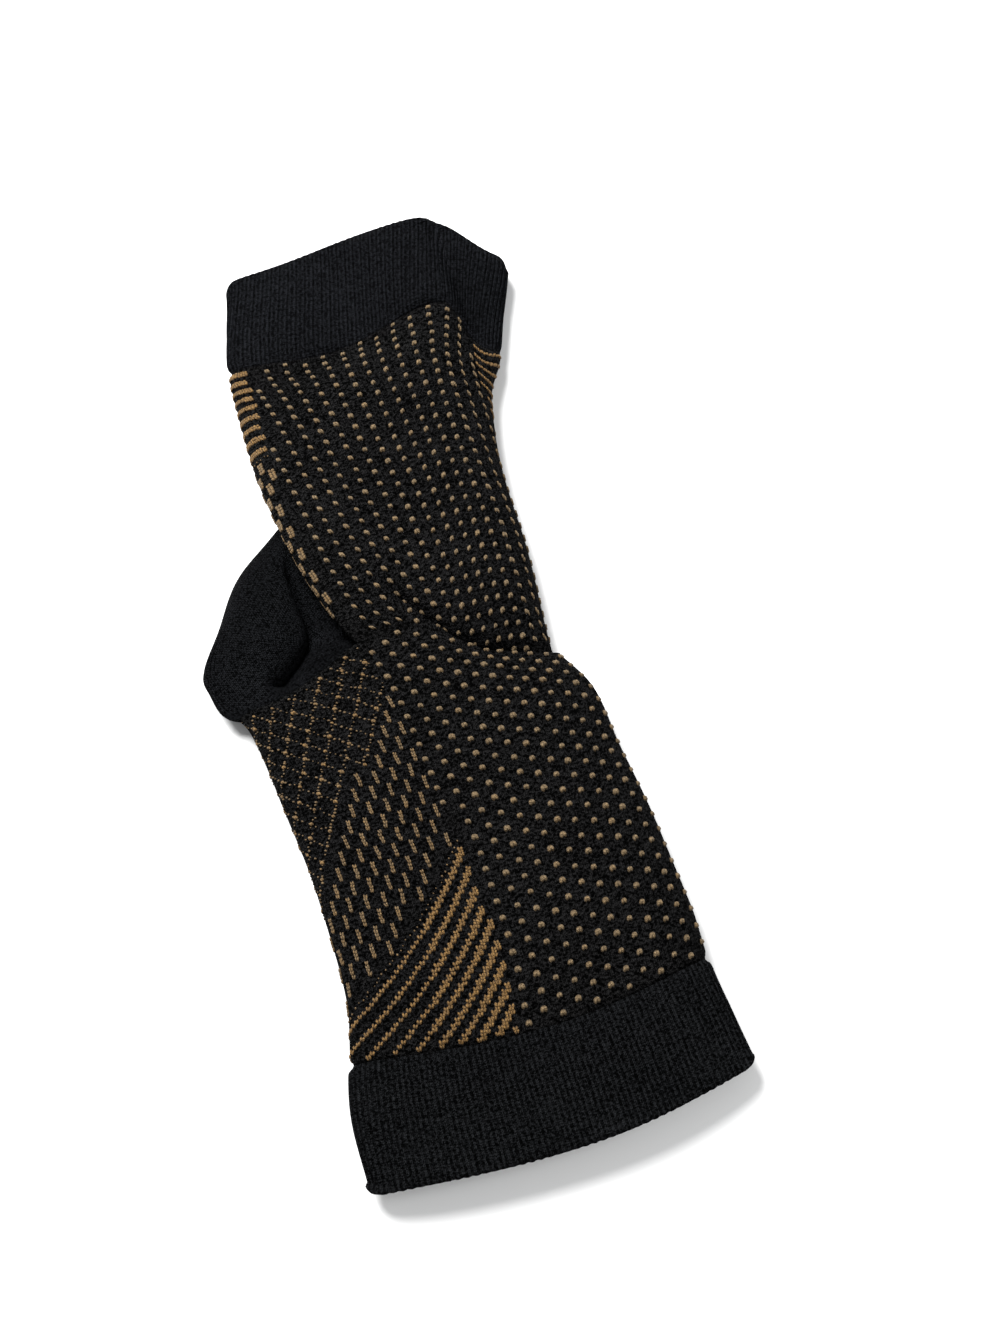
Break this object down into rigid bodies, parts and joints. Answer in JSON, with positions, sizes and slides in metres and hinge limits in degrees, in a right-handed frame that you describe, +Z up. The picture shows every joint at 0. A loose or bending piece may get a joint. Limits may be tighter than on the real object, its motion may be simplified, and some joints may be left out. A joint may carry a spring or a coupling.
{
  "type": "ankle brace sock",
  "caption": "Toeless knitted ankle brace sock lying flat, with ribbed cuffs at the leg and toe openings, a patterned compression tube and a plain heel pocket.",
  "frame": {"origin": "on the floor under the middle of the lying sock", "axes": "+Z up through the flattened sock, +Y along the sock towards its leg opening, heel to -X"},
  "size_m": [0.1076, 0.2395, 0.014],
  "materials": {
    "plain_rib_knit": "matt black fine rib knit",
    "patterned_knit": "matt black knit with knitted-in golden dots, dashes and bars",
    "plain_heel_knit": "matt black plain knit"
  },
  "bodies": {
    "root": {"leg_cuff": "plain_rib_knit", "leg_tube": "patterned_knit", "heel_pocket": "plain_heel_knit", "foot_tube": "patterned_knit", "foot_cuff": "plain_rib_knit"}
  },
  "joints": []
}
